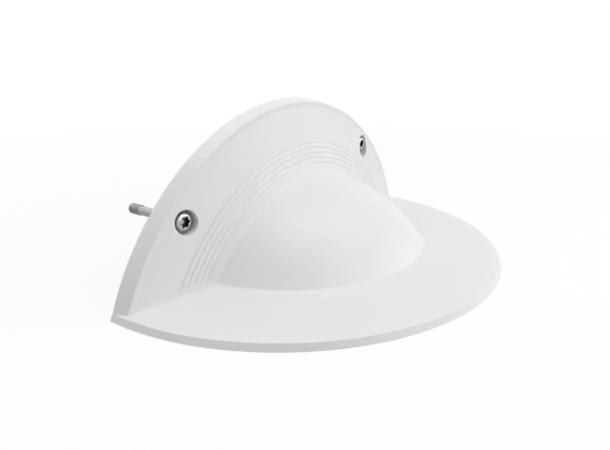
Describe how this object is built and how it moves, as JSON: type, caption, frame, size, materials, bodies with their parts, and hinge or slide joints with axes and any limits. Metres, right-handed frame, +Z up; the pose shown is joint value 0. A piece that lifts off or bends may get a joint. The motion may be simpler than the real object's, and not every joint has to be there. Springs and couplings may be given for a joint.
{
  "type": "radar dome antenna",
  "caption": "Quarter-dome radar antenna on an upright wall flange and a flat brim, held by captive screws through the flange.",
  "frame": {"origin": "middle of the corner edge where the rear mounting plane meets the underside", "axes": "+Z up, -Y out of the mounting wall the way the dome looks, +X to the right seen from the rear"},
  "size_m": [0.236, 0.146, 0.0819],
  "materials": {
    "aluminium": "rolled sheet",
    "brass": "turned and knurled",
    "chip_epoxy": "matt epoxy",
    "coil_ferrite": "ferrite",
    "copper": "tinned copper",
    "cover_plastic": "matt glass-filled plastic",
    "fr4": "solder mask on glass-epoxy laminate",
    "gasket_rubber": "closed-cell EPDM",
    "gold": "gold-plated brass",
    "header_plastic": "nylon",
    "housing_plastic": "fine moulded satin, UV-stable ASA",
    "insulator_plastic": "matt moulded plastic",
    "membrane": "expanded membrane",
    "microwave_laminate": "bare microwave laminate",
    "nickel_brass": "nickel-plated brass",
    "sleeve_plastic": "matt acetal",
    "stainless": "A4 stainless, satin",
    "tin_plate": "tin-plated steel",
    "vent_plastic": "matt moulded plastic",
    "wire_sleeve": "insulated wire"
  },
  "bodies": {
    "housing": {"radome_housing": "housing_plastic", "rear_cover": "cover_plastic", "rear_cover_gasket": "gasket_rubber", "rear_cover_screws": "stainless", "rear_cover_inserts": "brass", "base_cover": "cover_plastic", "base_cover_gasket": "gasket_rubber", "base_cover_screws": "stainless", "base_cover_inserts": "brass", "transceiver_board": "fr4", "shield_can": "tin_plate", "processor_chip": "chip_epoxy", "power_coil": "coil_ferrite", "board_header": "header_plastic", "coax_sockets": "gold", "coax_bullet": "gold", "reflector_plate": "aluminium", "antenna_board": "microwave_laminate", "radiating_patches": "copper", "feed_lines": "copper", "lower_standoffs": "nickel_brass", "upper_standoffs": "nickel_brass", "standoff_screws": "stainless", "antenna_screws": "stainless", "connector_shell": "nickel_brass", "connector_insulator": "insulator_plastic", "connector_contacts": "gold", "connector_nut": "nickel_brass", "connector_seal": "gasket_rubber", "connector_wires": "wire_sleeve", "vent_plug": "vent_plastic", "vent_membrane": "membrane", "boss_sleeve_left": "stainless", "boss_sleeve_right": "stainless", "screw_retainer_left": "sleeve_plastic", "screw_retainer_right": "sleeve_plastic"},
    "left_washer": {"screw_washer_left": "gasket_rubber"},
    "left_screw": {"fixing_screw_left": "stainless"},
    "right_washer": {"screw_washer_right": "gasket_rubber"},
    "right_screw": {"fixing_screw_right": "stainless"}
  },
  "joints": [
    {"name": "left_screw_pull", "type": "slide", "parent": "housing", "child": "left_washer", "axis": [0, -1, 0], "range_m": [0, 0.022]},
    {"name": "left_screw_turn", "type": "hinge", "parent": "left_washer", "child": "left_screw", "pos_m": [-0.08303, 0, 0.03393], "axis": [0, 1, 0], "continuous": true},
    {"name": "right_screw_pull", "type": "slide", "parent": "housing", "child": "right_washer", "axis": [0, -1, 0], "range_m": [0, 0.022]},
    {"name": "right_screw_turn", "type": "hinge", "parent": "right_washer", "child": "right_screw", "pos_m": [0.06705, 0, 0.04975], "axis": [0, 1, 0], "continuous": true}
  ]
}
